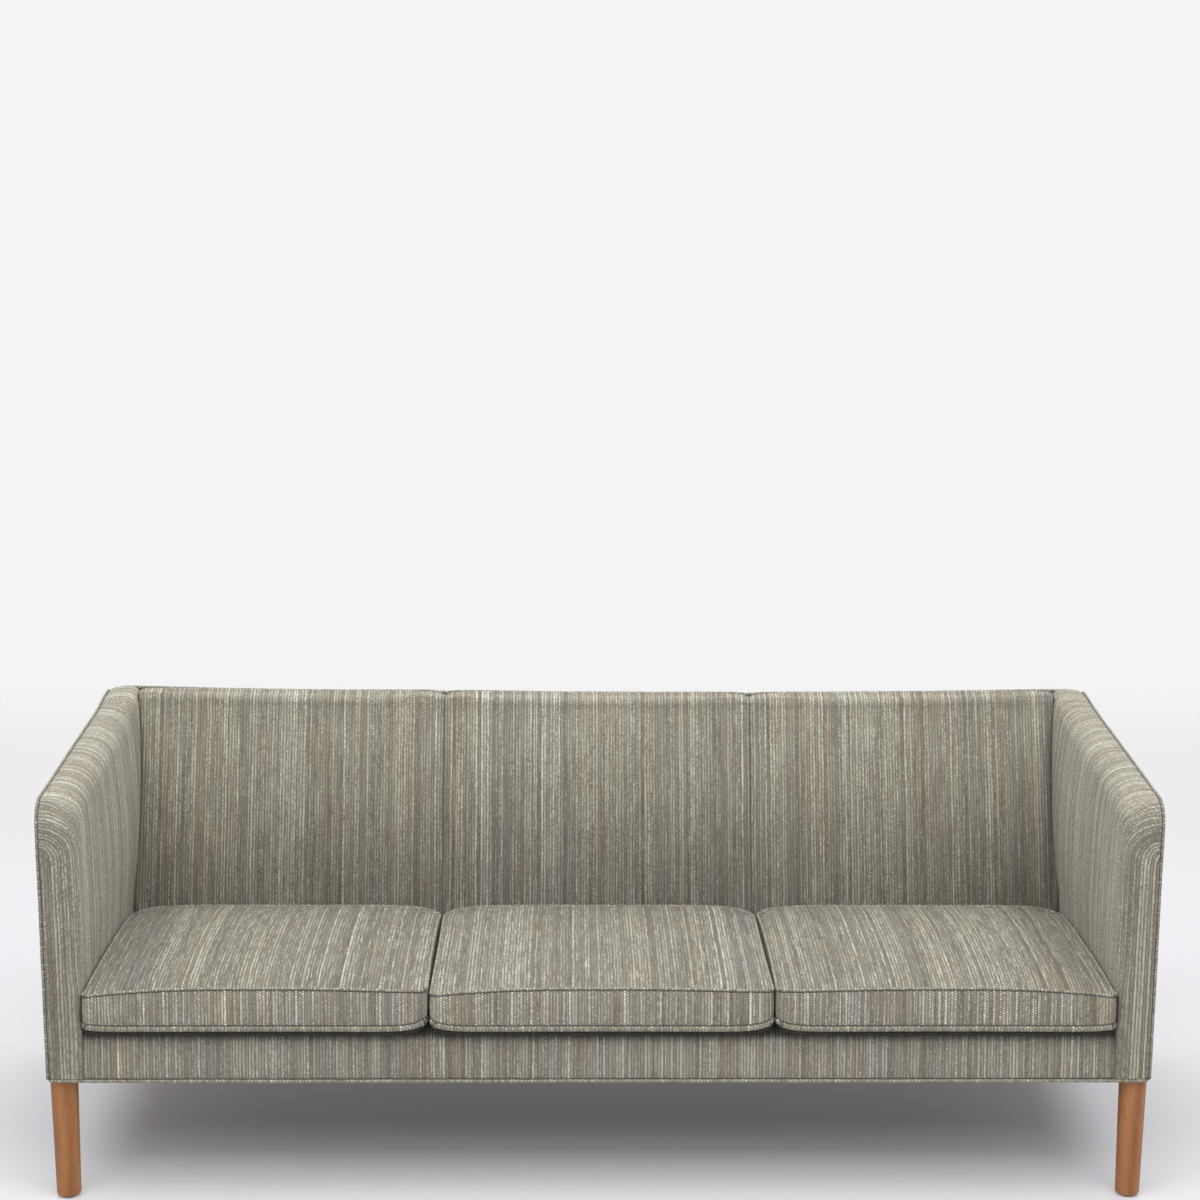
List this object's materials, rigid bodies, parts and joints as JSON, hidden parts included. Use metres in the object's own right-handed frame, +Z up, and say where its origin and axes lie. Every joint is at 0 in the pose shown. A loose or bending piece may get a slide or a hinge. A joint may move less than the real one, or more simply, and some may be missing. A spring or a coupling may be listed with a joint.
{
  "type": "three-seater sofa",
  "caption": "Low box sofa with even arms and back, loose seat cushions on a padded deck, striped weave and round tapered oak legs.",
  "frame": {"origin": "on the floor, under the middle of the sofa's box", "axes": "+X along the width, to the right as seen from the front, -Y out of the front of the seat, +Z up"},
  "size_m": [2, 0.7638, 0.76],
  "materials": {
    "upholstery": "striped woven wool in grey-green, taupe and cream",
    "outside_cover": "the same striped weave on a card backing",
    "piping": "cord covered in the same weave",
    "deck_cloth": "plain cotton over padding",
    "leg_oak": "oiled oak",
    "frame_beech": "planed beech",
    "webbing": "woven jute",
    "hessian": "coarse jute cloth",
    "dust_cloth": "thin black cloth",
    "foam": "open-cell foam",
    "glide": "dark nylon"
  },
  "bodies": {
    "sofa": {"back_low_rail": "frame_beech", "back_pad": "upholstery", "back_piping": "piping", "back_top_rail": "frame_beech", "back_webbing": "webbing", "bottom_piping": "piping", "corner_blocks": "frame_beech", "dust_cover": "dust_cloth", "front_border": "upholstery", "front_legs": "leg_oak", "front_rail": "frame_beech", "left_arm_hessian": "hessian", "left_arm_low_rail": "frame_beech", "left_arm_pad": "upholstery", "left_arm_piping": "piping", "left_arm_top_rail": "frame_beech", "left_back_upright": "frame_beech", "left_front_post": "frame_beech", "left_outside_arm": "outside_cover", "left_rear_post": "frame_beech", "left_seat_stretcher": "frame_beech", "left_side_rail": "frame_beech", "left_webbing_batten": "frame_beech", "leg_glides": "glide", "outside_back": "outside_cover", "rear_legs": "leg_oak", "rear_rail": "frame_beech", "right_arm_hessian": "hessian", "right_arm_low_rail": "frame_beech", "right_arm_pad": "upholstery", "right_arm_piping": "piping", "right_arm_top_rail": "frame_beech", "right_back_upright": "frame_beech", "right_front_post": "frame_beech", "right_outside_arm": "outside_cover", "right_rear_post": "frame_beech", "right_seat_stretcher": "frame_beech", "right_side_rail": "frame_beech", "right_webbing_batten": "frame_beech", "seat_beam": "frame_beech", "seat_cross_webbing": "webbing", "seat_deck": "deck_cloth", "seat_webbing": "webbing"},
    "left_cushion": {"left_cushion_cover": "upholstery", "left_cushion_foam": "foam", "left_cushion_piping": "piping"},
    "middle_cushion": {"middle_cushion_cover": "upholstery", "middle_cushion_foam": "foam", "middle_cushion_piping": "piping"},
    "right_cushion": {"right_cushion_cover": "upholstery", "right_cushion_foam": "foam", "right_cushion_piping": "piping"}
  },
  "joints": [
    {"name": "left_cushion_pull", "type": "slide", "parent": "sofa", "child": "left_cushion", "axis": [0, -0.9973, 0.0741], "range_m": [0, 0.62]},
    {"name": "middle_cushion_pull", "type": "slide", "parent": "sofa", "child": "middle_cushion", "axis": [0, -0.9973, 0.0741], "range_m": [0, 0.62]},
    {"name": "right_cushion_pull", "type": "slide", "parent": "sofa", "child": "right_cushion", "axis": [0, -0.9973, 0.0741], "range_m": [0, 0.62]}
  ]
}
